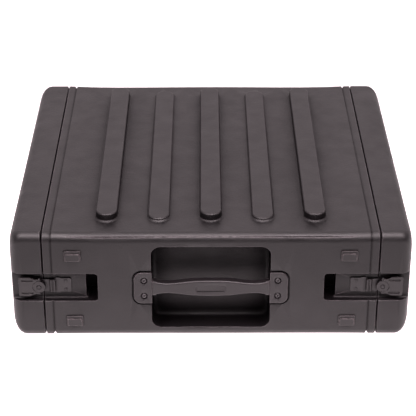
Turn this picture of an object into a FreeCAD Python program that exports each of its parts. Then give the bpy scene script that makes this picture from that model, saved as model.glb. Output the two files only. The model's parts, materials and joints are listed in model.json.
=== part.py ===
"""Two-unit equipment rack case: a moulded sleeve with a lift-off lid at each end.

Millimetres.  The origin is at the middle of the underside, +Z is up, +X runs from the front lid to
the rear lid, and the two carrying handles face -Y (right side) and +Y (left side).
"""

import FreeCAD
import Part
import math
import os

V = FreeCAD.Vector

# ---- overall sizes of the closed case ----
CASE_LENGTH = 614.0
CASE_WIDTH = 566.0
CASE_HEIGHT = 182.0
HALF_LENGTH = CASE_LENGTH / 2
HALF_WIDTH = CASE_WIDTH / 2
EDGE_RADIUS = 14.0

# ---- sleeve (body shell) ----
SEAM = 257.0
SEAM_GAP = 1.6
BODY_END = SEAM - SEAM_GAP / 2
BODY_WALL = 4.5
END_BAND = 17.2
END_BAND_WALL = 9.0
END_FLANGE = 7.5
CAVITY_END = BODY_END - END_BAND
CAVITY_TOP = 176.0
COLLAR_GROOVE_X = 243.0
COLLAR_GROOVE_WIDTH = 5.0
COLLAR_GROOVE_DEPTH = 3.0
RIM_CHAMFER = 1.5
BASE_TRIM = 0.3
ROOF_SAG_MIDDLE = 1.4
ROOF_SAG_WAVE = 4.9
SIDE_SAG_SHARE = 0.5
SAG_STEPS = 12

# ---- rack standard: 19-inch panel, two units high ----
PANEL_HOLE_SPACING = 465.1
RACK_UNIT = 44.45
RACK_UNITS = 2
UNIT_HOLES = (6.35, 22.225, 38.1)
RACK_SCREW_R = 2.4
BAY_CENTRE_Z = CASE_HEIGHT / 2
BAY_OPENING_WIDTH = 486.0
BAY_OPENING_HEIGHT = 93.0
BAY_OPENING_RADIUS = 10.0

# ---- stacking ribs on the roof and the matching channels underneath ----
RIB_SPACING = 80.0
RIB_WIDTH = 35.0
RIB_HALF_RUN = 241.5
RIB_HEIGHTS = (12.0, 5.0, 12.0, 5.0, 12.0)
RIB_TOP_INSET = 1.5
RIB_ROOT_SKIRT = 2.0
RIB_EDGE_RADIUS = 3.0
CHANNEL_CLEARANCE = 1.5

# ---- handle pocket, handle and its fasteners ----
POCKET_HALF_WIDTH = 91.3
POCKET_BOTTOM = 17.3
POCKET_TOP = 160.3
POCKET_DEPTH = 40.0
POCKET_RADIUS = 15.0
HANDLE_Z = 88.5
HANDLE_HALF_SPAN = 118.0
HANDLE_PLATE_HEIGHT = 54.5
HANDLE_PLATE_FACE = 284.2
HANDLE_PLATE_BACK = 278.6
HANDLE_PLATE_INNER = 90.3
HANDLE_PLATE_GAP = 3.0
HANDLE_SEAT = 278.5
HANDLE_BOSS_BACK = 271.5
GRIP_FACE = 285.2
GRIP_BACK = 272.0
GRIP_EDGE_RADIUS = 2.6
GRIP_STATIONS = ((0.0, 27.0), (32.0, 24.6), (64.0, 17.4), (89.0, 25.0))
HANDLE_SCREW_X = 102.5
HANDLE_SCREW_SPACING = 26.9
SCREW_RING_R = 5.7
SCREW_HEAD_R = 3.7
SCREW_SHANK_R = 2.0
BACKING_PLATE_THICKNESS = 1.5

# ---- rack rails and the bolts that hold them ----
RAIL_FACE_X = 228.0
RAIL_STEEL = 2.5
RAIL_INNER_Y = 225.5
RAIL_NOTCH_Y = 265.5
RAIL_BOTTOM = 16.0
RAIL_TOP = 164.0
RAIL_TAB_DEPTH = 29.0
RAIL_LOWER_TAB_TOP = 57.0
RAIL_UPPER_TAB_BOTTOM = 121.5
CAVITY_SIDE = HALF_WIDTH - BODY_WALL
RAIL_BOLT_X = 210.5
RAIL_BOLT_Z = (29.5, 145.0)
RAIL_BOLT_R = 3.0
BOLT_SEAT_Y = 281.6

# ---- latch recess, keeper and latch ----
RECESS_BOTTOM = 65.5
RECESS_TOP = 113.0
RECESS_END = 173.5
RECESS_FLOOR = 272.0
RECESS_RADIUS = 5.5
RECESS_FLOOR_FILLET = 4.0
FINGER_WELL_END = 192.0
FINGER_WELL_FLOOR = 246.0
LATCH_Z = (RECESS_BOTTOM + RECESS_TOP) / 2
PIVOT_X = 263.7
LATCH_BASE_TOP = 273.2
HOOK_BOTTOM = 273.5
HOOK_TOP = 275.1
HOOK_HALF_HEIGHT = 10.5
CAM_R = 5.0
CAM_THROW = 3.0
ROTOR_R = 9.5
ROTOR_BOTTOM = 275.4
ROTOR_TOP = 281.0
SPIGOT_R = 2.5
WASHER_R = 4.9
WASHER_WELL_R = 5.3
WASHER_WELL_FLOOR = 269.2
WING_BOTTOM = 278.6
WING_TOP = 280.6
WING_PIN_Y = 278.4
WING_PIN_R = 1.2
WING_KNUCKLE_R = 2.2
WING_LENGTH = 31.0
WING_HALF_TAIL = 16.2
RIVET_R = 1.6
RIVET_HEAD_R = 2.6

# ---- lids and their seals ----
LID_START = SEAM + SEAM_GAP / 2
LID_WALL = 4.0
LID_CORNER_ROLL = 20.0
LID_FLANGE = 9.0
LID_FLANGE_WIDTH = 28.0
SEAL_OUTER_OFFSET = 18.0
SEAL_INNER_OFFSET = 25.0
SEAL_GROOVE_FLOOR = 263.8
SEAL_FACE = 261.8
TONGUE_END = 261.5

FASTENER_CLEARANCE = 0.2


def box(x0, x1, y0, y1, z0, z1):
    """A block between the given planes."""
    return Part.makeBox(x1 - x0, y1 - y0, z1 - z0, V(x0, y0, z0))


def cylinder_y(x, z, y0, y1, radius):
    """A round bar along Y from y0 to y1."""
    return Part.makeCylinder(radius, y1 - y0, V(x, y0, z), V(0, 1, 0))


def cylinder_z(x, y, z0, z1, radius):
    """A round bar along Z from z0 to z1."""
    return Part.makeCylinder(radius, z1 - z0, V(x, y, z0), V(0, 0, 1))


def hexagon_y(x, z, y0, y1, across_flats):
    """A hexagonal bar along Y."""
    radius = across_flats / math.sqrt(3)
    corners = [V(x + radius * math.cos(math.radians(60 * i)), y0,
                 z + radius * math.sin(math.radians(60 * i))) for i in range(7)]
    return Part.Face(Part.makePolygon(corners)).extrude(V(0, y1 - y0, 0))


def rounded_rectangle(u0, u1, v0, v1, radius, place):
    """A closed wire of a rectangle with round corners; place(u, v) gives each point in space."""
    c = radius * (1 - math.sqrt(0.5))
    corners = (
        ((u1 - radius, v0), (u1 - c, v0 + c), (u1, v0 + radius)),
        ((u1, v1 - radius), (u1 - c, v1 - c), (u1 - radius, v1)),
        ((u0 + radius, v1), (u0 + c, v1 - c), (u0, v1 - radius)),
        ((u0, v0 + radius), (u0 + c, v0 + c), (u0 + radius, v0)),
    )
    edges = []
    last = corners[-1][2]
    for start, middle, end in corners:
        edges.append(Part.makeLine(place(*last), place(*start)))
        edges.append(Part.Arc(place(*start), place(*middle), place(*end)).toShape())
        last = end
    return Part.Wire(edges)


def at_x(x):
    """Places outline points on the plane across the case at x."""
    return lambda u, v: V(x, u, v)


def at_y(y):
    """Places outline points on the plane beside the case at y."""
    return lambda u, v: V(u, y, v)


def at_z(z):
    """Places outline points on the level plane at height z."""
    return lambda u, v: V(u, v, z)


def prism(wire, direction):
    """The solid swept by a flat closed wire."""
    return Part.Face(wire).extrude(direction)


def section(x, offset, top_sag=0.0, side_sag=0.0, radius=EDGE_RADIUS, bottom=0.0):
    """The case's outline across X, drawn in by offset all round."""
    half = HALF_WIDTH - side_sag - offset
    top = CASE_HEIGHT - top_sag - offset
    return rounded_rectangle(-half, half, bottom + offset, top, radius, at_x(x))


def ring(x0, x1, outer_offset, inner_offset):
    """A square-section ring that follows the case's outline, from x0 to x1."""
    length = V(x1 - x0, 0, 0)
    outer = prism(section(x0, outer_offset, radius=EDGE_RADIUS), length)
    inner = prism(section(x0, inner_offset, radius=EDGE_RADIUS - 4.0), length)
    return outer.cut(inner)


def outline_cutter(stations):
    """What lies outside a ruled form through (x, offset) stations, as a tool to cut with."""
    core = Part.makeLoft([section(x, offset) for x, offset in stations], True, True)
    x0 = stations[0][0]
    x1 = stations[-1][0]
    reach = 12.0
    return box(x0, x1, -HALF_WIDTH - reach, HALF_WIDTH + reach, -reach, CASE_HEIGHT + reach).cut(core)


def mirrored(shape, end, side):
    """A copy of a shape made at the rear left corner, moved to the given end and side."""
    result = shape
    if end < 0:
        result = result.mirror(V(0, 0, 0), V(1, 0, 0))
    if side < 0:
        result = result.mirror(V(0, 0, 0), V(0, 1, 0))
    return result


def four_corners(shape):
    """The shape at each end and side of the case."""
    return [mirrored(shape, end, side) for end in (1, -1) for side in (1, -1)]


def both_sides(shape):
    """The shape on the left and on the right side."""
    return [mirrored(shape, 1, side) for side in (1, -1)]


def union(shapes):
    """One shape of several that touch or overlap."""
    return shapes[0].multiFuse(shapes[1:]) if len(shapes) > 1 else shapes[0]


# ---------------------------------------------------------------- recesses cut from the side walls
def rolled_mouth(u0, u1, v0, v1, radius, roll):
    """The flared mouth of a side recess, which leaves its edge softly rounded."""
    steps = ((roll + 0.4, 0.0), (0.45 * roll, 0.15 * roll), (0.1 * roll, 0.6 * roll), (-1.6, 1.8 * roll))
    wires = []
    for below, grow in steps:
        wires.append(rounded_rectangle(u0 - grow, u1 + grow, v0 - grow, v1 + grow, radius + grow,
                                       at_y(HALF_WIDTH - below)))
    return Part.makeLoft(wires, True, True)


def side_recess(u0, u1, v0, v1, radius, floor, floor_fillet, roll):
    """A cutter for a pocket in the left wall, with round corners, floor fillet and rolled mouth."""
    depth = HALF_WIDTH - floor
    well = prism(rounded_rectangle(u0, u1, v0, v1, radius, at_y(floor)), V(0, depth - 0.5, 0))
    bottom = [edge for edge in well.Edges if abs(edge.BoundBox.YMax - floor) < 0.01]
    well = well.makeFillet(floor_fillet, bottom)
    return well.fuse(rolled_mouth(u0, u1, v0, v1, radius, roll))


def latch_recess():
    """The long recess of one latch, which runs from the sleeve out through the lid's end."""
    return side_recess(RECESS_END, HALF_LENGTH + 40.0, RECESS_BOTTOM, RECESS_TOP, RECESS_RADIUS,
                       RECESS_FLOOR, RECESS_FLOOR_FILLET, 2.0)


def finger_well():
    """The deep end of the latch recess."""
    wire = rounded_rectangle(RECESS_END, FINGER_WELL_END, RECESS_BOTTOM, RECESS_TOP, RECESS_RADIUS,
                             at_y(FINGER_WELL_FLOOR))
    return prism(wire, V(0, HALF_WIDTH - FINGER_WELL_FLOOR - 3.0, 0))


def handle_pocket():
    """The hand pocket behind the grip."""
    return side_recess(-POCKET_HALF_WIDTH, POCKET_HALF_WIDTH, POCKET_BOTTOM, POCKET_TOP,
                       POCKET_RADIUS, HALF_WIDTH - POCKET_DEPTH, 8.0, 1.6)


def handle_seat(gap, back, face):
    """The block that both end plates of a handle fill, grown by gap."""
    half = HANDLE_HALF_SPAN + gap
    rise = HANDLE_PLATE_HEIGHT / 2 + gap
    wire = rounded_rectangle(-half, half, HANDLE_Z - rise, HANDLE_Z + rise, 12.0 + gap, at_y(back))
    return prism(wire, V(0, face - back, 0))


def bolt_pad(grow, back, face):
    """The rectangular seat or head of one rail bolt, at the rear left corner, for both heights."""
    pads = []
    for z in RAIL_BOLT_Z:
        wire = rounded_rectangle(RAIL_BOLT_X - 13 - grow, RAIL_BOLT_X + 13 + grow, z - 9 - grow,
                                 z + 9 + grow, 2.0, at_y(back))
        pads.append(prism(wire, V(0, face - back, 0)))
    return pads


# ------------------------------------------------------------------------------------------ sleeve
def roof_rib(x, height):
    """One stacking rib: a long rounded bar with drafted sides and a soft root."""
    root = CASE_HEIGHT - 3.0
    top = CASE_HEIGHT + height
    half = RIB_WIDTH / 2
    blunt = 0.05

    def outline(inset, z):
        width = half - inset
        run = RIB_HALF_RUN - inset
        return rounded_rectangle(x - width, x + width, -run, run, width - blunt, at_z(z))

    bar = Part.makeLoft([outline(0.0, root), outline(RIB_TOP_INSET, top)], True, True)
    rim = [edge for edge in bar.Edges if abs(edge.BoundBox.ZMin - top) < 0.01]
    bar = bar.makeFillet(RIB_EDGE_RADIUS, rim)
    skirt = Part.makeLoft([outline(-RIB_ROOT_SKIRT - 1.0, root), outline(0.1, CASE_HEIGHT + 1.6)],
                          True, True)
    return bar.fuse(skirt)


def rib_positions():
    """Each rib's place along X with its height."""
    middle = (len(RIB_HEIGHTS) - 1) / 2
    return [((i - middle) * RIB_SPACING, height) for i, height in enumerate(RIB_HEIGHTS)]


def long_slot(x, half_width, half_run, z0, z1):
    """A round-ended block along Y, for a rib's hollow or its channel."""
    wire = rounded_rectangle(x - half_width, x + half_width, -half_run, half_run,
                             half_width - 0.05, at_z(z0))
    return prism(wire, V(0, 0, z1 - z0))


def stacking_channels(grow, lift):
    """The channels in the underside that take the ribs of a case below."""
    channels = []
    for x, height in rib_positions():
        half = RIB_WIDTH / 2 + CHANNEL_CLEARANCE + grow
        run = RIB_HALF_RUN + CHANNEL_CLEARANCE + grow
        channels.append(long_slot(x, half, run, -1.0, height + 0.5 + lift))
    return channels


def sleeve_cavity():
    """The inside of the sleeve: a plain tunnel less the backs of every side recess."""
    cavity = box(-CAVITY_END, CAVITY_END, -CAVITY_SIDE, CAVITY_SIDE, BODY_WALL, CAVITY_TOP)
    flange_x = BODY_END - END_FLANGE
    narrow = HALF_WIDTH - END_BAND_WALL
    cavity = cavity.fuse(box(-flange_x, flange_x, -narrow, narrow, END_BAND_WALL,
                             CASE_HEIGHT - END_BAND_WALL))
    wall = BODY_WALL
    recess_back = box(RECESS_END - wall, BODY_END, RECESS_FLOOR - wall, CAVITY_SIDE + 1,
                      RECESS_BOTTOM - wall, RECESS_TOP + wall)
    well_back = box(RECESS_END - wall, FINGER_WELL_END + wall, FINGER_WELL_FLOOR - wall,
                    CAVITY_SIDE + 1, RECESS_BOTTOM - wall, RECESS_TOP + wall)
    pocket_wire = rounded_rectangle(-POCKET_HALF_WIDTH - wall, POCKET_HALF_WIDTH + wall,
                                    POCKET_BOTTOM - wall, POCKET_TOP + wall, POCKET_RADIUS + wall,
                                    at_y(HALF_WIDTH - POCKET_DEPTH - wall))
    pocket_back = prism(pocket_wire, V(0, POCKET_DEPTH + 1, 0))
    seat_back = handle_seat(5.0, HANDLE_BOSS_BACK, CAVITY_SIDE + 1)
    backs = four_corners(recess_back) + four_corners(well_back)
    backs += both_sides(pocket_back) + both_sides(seat_back)
    backs += stacking_channels(4.0, 4.0)
    cavity = cavity.cut(backs)
    hollows = [long_slot(x, RIB_WIDTH / 2 - 6.0, RIB_HALF_RUN - 6.0, CAVITY_TOP - 1.0,
                         CASE_HEIGHT + height - 5.0)
               for x, height in rib_positions() if height > 10.0]
    return cavity.multiFuse(hollows)


def bay_opening(x0, x1):
    """The opening through an end flange of the sleeve, which a panel passes through."""
    half = BAY_OPENING_WIDTH / 2
    rise = BAY_OPENING_HEIGHT / 2
    wire = rounded_rectangle(-half, half, BAY_CENTRE_Z - rise, BAY_CENTRE_Z + rise,
                             BAY_OPENING_RADIUS, at_x(x0))
    return prism(wire, V(x1 - x0, 0, 0))


def keeper_rivet_places():
    """The two rivets of the keeper at the rear left corner."""
    return [(223.0, LATCH_Z - 7.5), (223.0, LATCH_Z + 7.5)]


def handle_screw_places():
    """The four screws of one handle."""
    rise = HANDLE_SCREW_SPACING / 2
    return [(x, HANDLE_Z + z) for x in (-HANDLE_SCREW_X, HANDLE_SCREW_X) for z in (-rise, rise)]


def sleeve_holes():
    """Every fastener hole through the side walls."""
    holes = []
    for z in RAIL_BOLT_Z:
        hole = cylinder_y(RAIL_BOLT_X, z, CAVITY_SIDE - 1, HALF_WIDTH + 1,
                          RAIL_BOLT_R + FASTENER_CLEARANCE)
        holes += four_corners(hole)
    for x, z in keeper_rivet_places():
        holes += four_corners(cylinder_y(x, z, RECESS_FLOOR - 8, RECESS_FLOOR + 1,
                                         RIVET_R + FASTENER_CLEARANCE))
    for x, z in handle_screw_places():
        holes += both_sides(cylinder_y(x, z, HANDLE_BOSS_BACK - 1, HANDLE_SEAT + 1,
                                       SCREW_SHANK_R + FASTENER_CLEARANCE))
    return holes


def sagged_section(x):
    """The sleeve's outline at x: the roof and sides dip in two shallow waves between the ends."""
    share = (x / BODY_END) ** 2
    sag = (1 - share) * (ROOF_SAG_MIDDLE + ROOF_SAG_WAVE * share)
    return section(x, 0.0, sag, SIDE_SAG_SHARE * sag, bottom=-BASE_TRIM)


def body_shell():
    """The moulded sleeve with roof ribs, side recesses, end flanges and the tongue of each seal."""
    stations = [BODY_END * (2 * step / SAG_STEPS - 1) for step in range(SAG_STEPS + 1)]
    solid = Part.makeLoft([sagged_section(x) for x in stations], True, True)
    solid = solid.cut(box(-SEAM, SEAM, -HALF_WIDTH - 1, HALF_WIDTH + 1, -BASE_TRIM - 1, 0))
    solid = solid.multiFuse([roof_rib(x, height) for x, height in rib_positions()])
    solid = solid.cut(sleeve_cavity())
    opening = bay_opening(BODY_END - END_FLANGE - 1, BODY_END + 1)
    solid = solid.cut([opening, opening.mirror(V(0, 0, 0), V(1, 0, 0))])
    half_groove = COLLAR_GROOVE_WIDTH / 2
    groove = outline_cutter(((COLLAR_GROOVE_X - half_groove, 0.0),
                             (COLLAR_GROOVE_X, COLLAR_GROOVE_DEPTH),
                             (COLLAR_GROOVE_X + half_groove, 0.0)))
    rim = outline_cutter(((BODY_END - RIM_CHAMFER, 0.0), (BODY_END, RIM_CHAMFER)))
    cutters = [groove, groove.mirror(V(0, 0, 0), V(1, 0, 0)), rim,
               rim.mirror(V(0, 0, 0), V(1, 0, 0))]
    cutters += four_corners(latch_recess()) + four_corners(finger_well())
    cutters += both_sides(handle_pocket())
    cutters += both_sides(handle_seat(HANDLE_PLATE_GAP, HANDLE_SEAT, HALF_WIDTH + 2))
    for pad in bolt_pad(0.6, BOLT_SEAT_Y, HALF_WIDTH + 1):
        cutters += four_corners(pad)
    cutters += stacking_channels(0.0, 0.0)
    cutters += sleeve_holes()
    solid = solid.cut(cutters)
    tongue = ring(BODY_END - 1.0, TONGUE_END, SEAL_OUTER_OFFSET + 1.0, SEAL_INNER_OFFSET - 1.0)
    return solid.multiFuse([tongue, tongue.mirror(V(0, 0, 0), V(1, 0, 0))])


# ----------------------------------------------------------------------------------------- handles
def grip():
    """The wavy bar of a handle: widest in the middle, with a neck near each end."""
    upper = []
    for x, height in GRIP_STATIONS[:0:-1]:
        upper.append(V(-x, GRIP_BACK, HANDLE_Z + height / 2))
    for x, height in GRIP_STATIONS:
        upper.append(V(x, GRIP_BACK, HANDLE_Z + height / 2))
    lower = [V(p.x, p.y, 2 * HANDLE_Z - p.z) for p in upper]
    top_curve = Part.BSplineCurve()
    top_curve.interpolate(upper)
    bottom_curve = Part.BSplineCurve()
    bottom_curve.interpolate(lower)
    outline = Part.Wire([top_curve.toShape(), Part.makeLine(upper[-1], lower[-1]),
                         bottom_curve.toShape(), Part.makeLine(lower[0], upper[0])])
    bar = prism(outline, V(0, GRIP_FACE - GRIP_BACK, 0))
    long_edges = [edge for edge in bar.Edges if edge.BoundBox.XLength > HANDLE_PLATE_INNER]
    return bar.makeFillet(GRIP_EDGE_RADIUS, long_edges)


def handle():
    """One carrying handle on the left side, with its two end plates."""
    plates = handle_seat(0.0, HANDLE_PLATE_BACK, HANDLE_PLATE_FACE)
    middle = box(-HANDLE_PLATE_INNER, HANDLE_PLATE_INNER, HANDLE_PLATE_BACK - 1,
                 HANDLE_PLATE_FACE + 1, 0, CASE_HEIGHT)
    plates = plates.cut(middle)
    face_edges = [edge for edge in plates.Edges
                  if abs(edge.BoundBox.YMin - HANDLE_PLATE_FACE) < 0.01]
    plates = plates.makeFillet(1.2, face_edges)
    necks = handle_seat(0.0, HANDLE_PLATE_BACK, HANDLE_PLATE_FACE - 0.3).common(
        box(-94, 94, 0, 400, HANDLE_Z - 12.0, HANDLE_Z + 12.0)).cut(
        box(-84, 84, 0, 400, 0, CASE_HEIGHT))
    solid = union([grip(), plates, necks])
    inlay = prism(rounded_rectangle(-23, 23, HANDLE_Z - 5.5, HANDLE_Z + 5.5, 3.0,
                                    at_y(GRIP_FACE - 0.8)), V(0, 2, 0))
    cutters = [inlay]
    for x, z in handle_screw_places():
        cutters.append(cylinder_y(x, z, HANDLE_PLATE_FACE - 1.7, HANDLE_PLATE_FACE + 1, SCREW_RING_R))
        cutters.append(cylinder_y(x, z, HANDLE_PLATE_BACK - 1, HANDLE_PLATE_FACE,
                                  SCREW_SHANK_R + FASTENER_CLEARANCE))
    return solid.cut(cutters)


def handle_screws():
    """Round-headed machine screws that hold both handles."""
    seat = HANDLE_PLATE_FACE - 1.7
    screws = []
    for x, z in handle_screw_places():
        head = cylinder_y(x, z, seat, seat + 2.4, SCREW_HEAD_R)
        crown = [edge for edge in head.Edges if abs(edge.BoundBox.YMin - seat - 2.4) < 0.01]
        head = head.makeFillet(1.6, crown)
        head = head.cut(hexagon_y(x, z, seat + 1.0, seat + 3.0, 2.5))
        shank = cylinder_y(x, z, HANDLE_BOSS_BACK - 7.0, seat + 0.5, SCREW_SHANK_R)
        screws += both_sides(head.fuse(shank))
    return Part.makeCompound(screws)


def handle_backing_plates():
    """Steel strips inside the wall that spread the load of each pair of handle screws."""
    plate = box(97.5, 111.5, HANDLE_BOSS_BACK - BACKING_PLATE_THICKNESS, HANDLE_BOSS_BACK,
                HANDLE_Z - 22.0, HANDLE_Z + 22.0)
    holes = [cylinder_y(x, z, HANDLE_BOSS_BACK - 3, HANDLE_BOSS_BACK + 1,
                        SCREW_SHANK_R + FASTENER_CLEARANCE) for x, z in handle_screw_places()]
    return Part.makeCompound(four_corners(plate.cut(holes)))


def handle_nuts():
    """A nut on every handle screw."""
    back = HANDLE_BOSS_BACK - BACKING_PLATE_THICKNESS
    nuts = []
    for x, z in handle_screw_places():
        nut = hexagon_y(x, z, back - 3.2, back, 7.0)
        nuts += both_sides(nut.cut(cylinder_y(x, z, back - 4, back + 1, SCREW_SHANK_R)))
    return Part.makeCompound(nuts)


# ------------------------------------------------------------------------------------------- rails
def rack_hole_heights():
    """The height of every panel screw hole in a rail."""
    base = BAY_CENTRE_Z - RACK_UNITS * RACK_UNIT / 2
    return [base + unit * RACK_UNIT + step for unit in range(RACK_UNITS) for step in UNIT_HOLES]


def rack_rail():
    """The rear left rail: a pressed steel face with holes, and a tab to the wall at each end."""
    back = RAIL_FACE_X - RAIL_STEEL
    face = box(back, RAIL_FACE_X, RAIL_INNER_Y, CAVITY_SIDE, RAIL_BOTTOM, RAIL_TOP)
    stiffener = box(back - 12.0, RAIL_FACE_X, RAIL_INNER_Y, RAIL_INNER_Y + RAIL_STEEL,
                    RAIL_BOTTOM + 24.0, RAIL_TOP - 22.0)
    tab = box(RAIL_FACE_X - RAIL_TAB_DEPTH, RAIL_FACE_X, CAVITY_SIDE - RAIL_STEEL, CAVITY_SIDE,
              RAIL_BOTTOM, RAIL_TOP)
    notch = box(0, RAIL_FACE_X + 1, RAIL_NOTCH_Y, HALF_WIDTH, RAIL_LOWER_TAB_TOP,
                RAIL_UPPER_TAB_BOTTOM)
    rail = union([face, stiffener, tab]).cut(notch)
    bends = [edge for edge in rail.Edges
             if edge.BoundBox.XLength < 0.01 and edge.BoundBox.YLength < 0.01
             and abs(edge.BoundBox.XMin - RAIL_FACE_X) < 0.01
             and (abs(edge.BoundBox.YMin - CAVITY_SIDE) < 0.01
                  or abs(edge.BoundBox.YMin - RAIL_INNER_Y) < 0.01)]
    rail = rail.makeFillet(1.8, bends)
    holes = [Part.makeCylinder(RACK_SCREW_R, 6, V(back - 2, PANEL_HOLE_SPACING / 2, z), V(1, 0, 0))
             for z in rack_hole_heights()]
    holes += [cylinder_y(RAIL_BOLT_X, z, CAVITY_SIDE - 4, CAVITY_SIDE + 1,
                         RAIL_BOLT_R + FASTENER_CLEARANCE) for z in RAIL_BOLT_Z]
    return rail.cut(holes)


def rail_bolts():
    """Bolts with stepped rectangular heads outside the wall, which hold the rails."""
    bolts = []
    pads = bolt_pad(0.0, BOLT_SEAT_Y, HALF_WIDTH + 1.6)
    for z, pad in zip(RAIL_BOLT_Z, pads):
        block_wire = rounded_rectangle(RAIL_BOLT_X - 11.2, RAIL_BOLT_X + 11.2, z - 8.0, z + 4.6, 1.5,
                                       at_y(HALF_WIDTH))
        block = prism(block_wire, V(0, 3.6, 0))
        rim = [edge for edge in block.Edges if abs(edge.BoundBox.YMin - HALF_WIDTH - 3.6) < 0.01]
        block = block.makeFillet(1.0, rim)
        rim = [edge for edge in pad.Edges if abs(edge.BoundBox.YMin - HALF_WIDTH - 1.6) < 0.01]
        pad = pad.makeFillet(0.7, rim)
        shank = cylinder_y(RAIL_BOLT_X, z, CAVITY_SIDE - 11.0, BOLT_SEAT_Y + 0.5, RAIL_BOLT_R)
        bolts += four_corners(union([pad, block, shank]))
    return Part.makeCompound(bolts)


def rail_nuts():
    """A nut on every rail bolt, inside the rail's tab."""
    back = CAVITY_SIDE - RAIL_STEEL
    nuts = []
    for z in RAIL_BOLT_Z:
        nut = hexagon_y(RAIL_BOLT_X, z, back - 5.0, back, 10.0)
        hole = cylinder_y(RAIL_BOLT_X, z, back - 6, back + 1, RAIL_BOLT_R)
        nuts += four_corners(nut.cut(hole))
    return Part.makeCompound(nuts)


# ---------------------------------------------------------------------------------------- fittings
def rivet(x, z, head_base, wall_back):
    """A rivet with a domed head on the outside and a flat tail inside the wall."""
    head = cylinder_y(x, z, head_base, head_base + 1.0, RIVET_HEAD_R)
    crown = [edge for edge in head.Edges if abs(edge.BoundBox.YMin - head_base - 1.0) < 0.01]
    head = head.makeFillet(0.7, crown)
    shank = cylinder_y(x, z, wall_back - 1.0, head_base + 0.5, RIVET_R)
    tail = cylinder_y(x, z, wall_back - 1.2, wall_back, RIVET_HEAD_R)
    return union([head, shank, tail])


def keeper():
    """The keeper plate of the rear left latch, riveted to the sleeve's recess floor."""
    x0 = 214.5
    x1 = 238.6
    thickness = 2.3
    plate = prism(rounded_rectangle(x0, x1, LATCH_Z - 12, LATCH_Z + 12, 2.5, at_y(RECESS_FLOOR)),
                  V(0, thickness, 0))
    lip = prism(rounded_rectangle(231.0, x1, LATCH_Z - 13.2, LATCH_Z + 13.2, 1.2,
                                  at_y(RECESS_FLOOR)), V(0, thickness, 0))
    plate = plate.fuse(lip)
    holes = [cylinder_y(x, z, RECESS_FLOOR - 1, RECESS_FLOOR + 4, RIVET_R + FASTENER_CLEARANCE)
             for x, z in keeper_rivet_places()]
    return plate.cut(holes)


def keeper_rivets():
    """The rivets of all four keepers."""
    rivets = []
    for x, z in keeper_rivet_places():
        rivets += four_corners(rivet(x, z, RECESS_FLOOR + 2.3, RECESS_FLOOR - BODY_WALL))
    return Part.makeCompound(rivets)


def latch_rivet_places():
    """The two rivets of a latch base at the rear left corner."""
    return [(PIVOT_X + 20.0, LATCH_Z - 9.0), (PIVOT_X + 20.0, LATCH_Z + 9.0)]


def latch_base():
    """The flat steel plate that carries the latch, riveted to the lid's recess floor."""
    plate = prism(rounded_rectangle(LID_START + 1.5, PIVOT_X + 28.0, LATCH_Z - 14, LATCH_Z + 14, 3.0,
                                    at_y(RECESS_FLOOR)), V(0, LATCH_BASE_TOP - RECESS_FLOOR, 0))
    holes = [cylinder_y(x, z, RECESS_FLOOR - 1, LATCH_BASE_TOP + 1, RIVET_R + FASTENER_CLEARANCE)
             for x, z in latch_rivet_places()]
    holes.append(cylinder_y(PIVOT_X, LATCH_Z, RECESS_FLOOR - 1, LATCH_BASE_TOP + 1, SPIGOT_R + 0.08))
    return plate.cut(holes)


def latch_rivets(end):
    """The rivets of both latch bases of one lid."""
    rivets = []
    for x, z in latch_rivet_places():
        one = rivet(x, z, LATCH_BASE_TOP, RECESS_FLOOR - LID_WALL)
        rivets += [mirrored(one, end, side) for side in (1, -1)]
    return Part.makeCompound(rivets)


def latch_rotor():
    """The turning part of a latch: a disc across a wing pin, a cam under it and a pivot spigot."""
    disc = cylinder_y(PIVOT_X, LATCH_Z, ROTOR_BOTTOM, ROTOR_TOP, ROTOR_R)
    rim = [edge for edge in disc.Edges if abs(edge.BoundBox.YMin - ROTOR_TOP) < 0.01]
    disc = disc.makeFillet(0.6, rim)
    cam = cylinder_y(PIVOT_X + CAM_THROW, LATCH_Z, LATCH_BASE_TOP + 0.2, ROTOR_BOTTOM + 0.1, CAM_R)
    spigot = cylinder_y(PIVOT_X, LATCH_Z, WASHER_WELL_FLOOR + 0.5, ROTOR_BOTTOM, SPIGOT_R)
    button = cylinder_y(PIVOT_X, LATCH_Z, ROTOR_TOP - 1, ROTOR_TOP + 0.7, 2.6)
    crown = [edge for edge in button.Edges if abs(edge.BoundBox.YMin - ROTOR_TOP - 0.7) < 0.01]
    button = button.makeFillet(0.5, crown)
    moat = cylinder_y(PIVOT_X, LATCH_Z, ROTOR_TOP - 0.6, ROTOR_TOP + 1, 4.0)
    pin_hole = cylinder_z(PIVOT_X, WING_PIN_Y, LATCH_Z - ROTOR_R - 1, LATCH_Z + ROTOR_R + 1,
                          WING_PIN_R + 0.08)
    return union([disc.cut(moat), button, cam, spigot]).cut(pin_hole)


def latch_washer():
    """The washer pressed on the rotor's spigot, in a shallow well behind the latch base."""
    face = RECESS_FLOOR - 0.4
    disc = cylinder_y(PIVOT_X, LATCH_Z, face - 1.2, face, WASHER_R)
    return disc.cut(cylinder_y(PIVOT_X, LATCH_Z, face - 2, face + 1, SPIGOT_R))


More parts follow.
